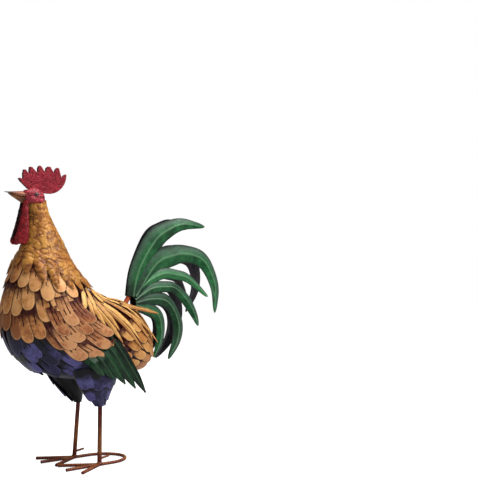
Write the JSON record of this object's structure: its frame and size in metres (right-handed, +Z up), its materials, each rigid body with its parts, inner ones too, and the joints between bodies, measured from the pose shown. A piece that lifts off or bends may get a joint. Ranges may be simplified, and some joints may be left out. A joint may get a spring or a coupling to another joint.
{
  "type": "rooster statue",
  "caption": "Standing garden rooster of painted sheet metal with tab feathers, stamped tail plates, rod legs and bar feet joined by a loop.",
  "frame": {"origin": "middle of the bounding box at the floor, under the body and close behind the legs", "axes": "+Z up, the rooster faces -X, its own left side is towards -Y"},
  "size_m": [0.456, 0.1698, 0.533],
  "materials": {
    "undercoat_brown": "satin",
    "neck_gold": "satin",
    "comb_red": "satin",
    "wattle_red": "satin",
    "beak_bronze": "satin",
    "eye_black": "gloss",
    "breast_copper": "satin",
    "belly_blue": "satin",
    "rump_gold": "satin",
    "saddle_yellow": "satin",
    "wing_green": "satin",
    "wing_copper": "satin",
    "tail_green": "satin",
    "socket_orange": "satin",
    "rod_black": "satin",
    "leg_brown": "satin",
    "foot_ochre": "satin"
  },
  "bodies": {
    "root": {"base_loop": "foot_ochre", "beak_lower": "beak_bronze", "beak_upper": "beak_bronze", "belly_feathers_1": "belly_blue", "belly_feathers_2": "belly_blue", "body_shell": "undercoat_brown", "breast_feathers_1": "breast_copper", "breast_feathers_2": "breast_copper", "breast_feathers_3": "breast_copper", "comb": "comb_red", "eye_left": "eye_black", "eye_right": "eye_black", "foot_weld_left": "foot_ochre", "foot_weld_right": "foot_ochre", "hackle_strips": "saddle_yellow", "head": "comb_red", "leg_left": "leg_brown", "leg_right": "leg_brown", "neck_cape": "neck_gold", "rump_feathers_1": "rump_gold", "rump_feathers_2": "rump_gold", "rump_feathers_3": "rump_gold", "rump_feathers_4": "rump_gold", "saddle_strips_1": "saddle_yellow", "saddle_strips_2": "saddle_yellow", "spur_left": "foot_ochre", "spur_right": "foot_ochre", "tail_plate_left": "tail_green", "tail_plate_right": "tail_green", "tail_rod": "rod_black", "tail_socket": "socket_orange", "thigh_feathers_1_left": "belly_blue", "thigh_feathers_1_right": "belly_blue", "thigh_feathers_2_left": "belly_blue", "thigh_feathers_2_right": "belly_blue", "thigh_feathers_3_left": "belly_blue", "thigh_feathers_3_right": "belly_blue", "thigh_left": "belly_blue", "thigh_right": "belly_blue", "toe_inner_left": "foot_ochre", "toe_inner_right": "foot_ochre", "toe_middle_left": "foot_ochre", "toe_middle_right": "foot_ochre", "toe_outer_left": "foot_ochre", "toe_outer_right": "foot_ochre", "wattle_left": "wattle_red", "wattle_right": "wattle_red", "wing_coverts_1_left": "wing_copper", "wing_coverts_1_right": "wing_copper", "wing_coverts_2_left": "wing_copper", "wing_coverts_2_right": "wing_copper", "wing_plate_left": "wing_copper", "wing_plate_right": "wing_copper", "wing_primaries_left": "wing_green", "wing_primaries_right": "wing_green"}
  },
  "joints": []
}
